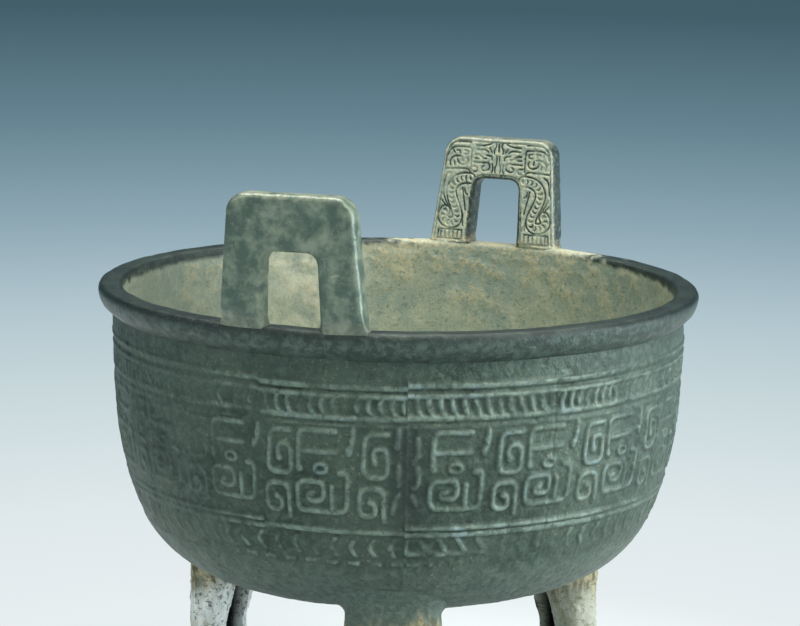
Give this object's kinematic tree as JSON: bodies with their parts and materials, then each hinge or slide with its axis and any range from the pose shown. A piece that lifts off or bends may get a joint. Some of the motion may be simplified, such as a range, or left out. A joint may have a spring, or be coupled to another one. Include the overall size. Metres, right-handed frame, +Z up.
{
  "type": "tripod ding vessel",
  "caption": "Round-bellied bronze ding with upright loop handles on the rim, cast spiral bands and channelled legs ending in hooves.",
  "frame": {"origin": "on the floor under the middle of the vessel, on the bowl's axis", "axes": "+Z up along the bowl's axis; -Y towards the front leg, the side the picture shows; +X to the viewer's right"},
  "size_m": [0.2199, 0.2275, 0.232],
  "materials": {
    "bronze": "dark green patina, worn and crusted"
  },
  "bodies": {
    "root": {"ding_vessel": "bronze"}
  },
  "joints": []
}
